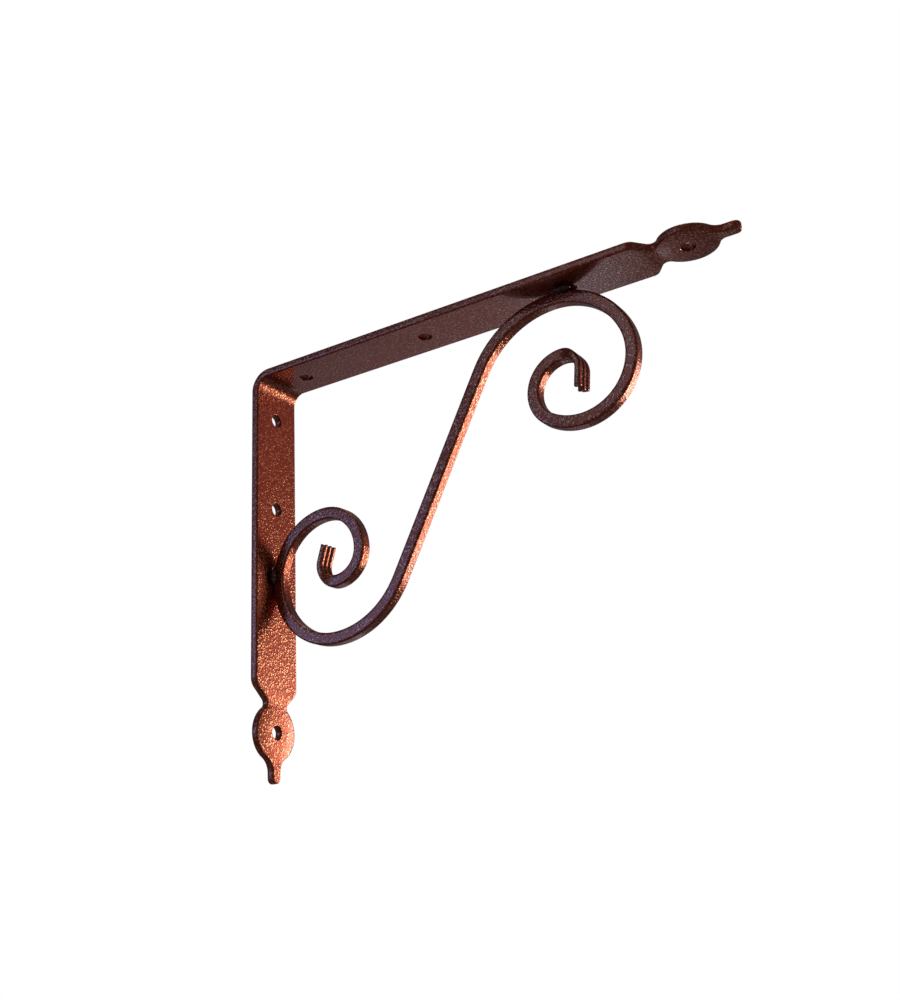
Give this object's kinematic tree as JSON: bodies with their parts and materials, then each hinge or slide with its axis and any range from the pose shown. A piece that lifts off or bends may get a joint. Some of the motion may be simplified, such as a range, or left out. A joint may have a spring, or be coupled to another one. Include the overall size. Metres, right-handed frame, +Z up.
{
  "type": "shelf bracket",
  "caption": "Right-angle shelf bracket of flat bar with forged pointed ends, screw holes in both arms and a welded S-shaped scroll brace of square bar.",
  "frame": {"origin": "the point on the wall plane midway between the two upper wall screw holes, in the middle of the bar's width", "axes": "+X out from the wall along the shelf arm, +Y across the bar, +Z up; the wall is the plane X = 0"},
  "size_m": [0.262, 0.03, 0.2099],
  "materials": {
    "hammered_paint": "antique copper hammered paint, dark speckle",
    "painted_weld": "gloss paint over rippled weld"
  },
  "bodies": {
    "root": {"bent_flat_bar": "hammered_paint", "s_scroll": "hammered_paint", "shelf_weld": "painted_weld", "wall_weld": "painted_weld"}
  },
  "joints": []
}
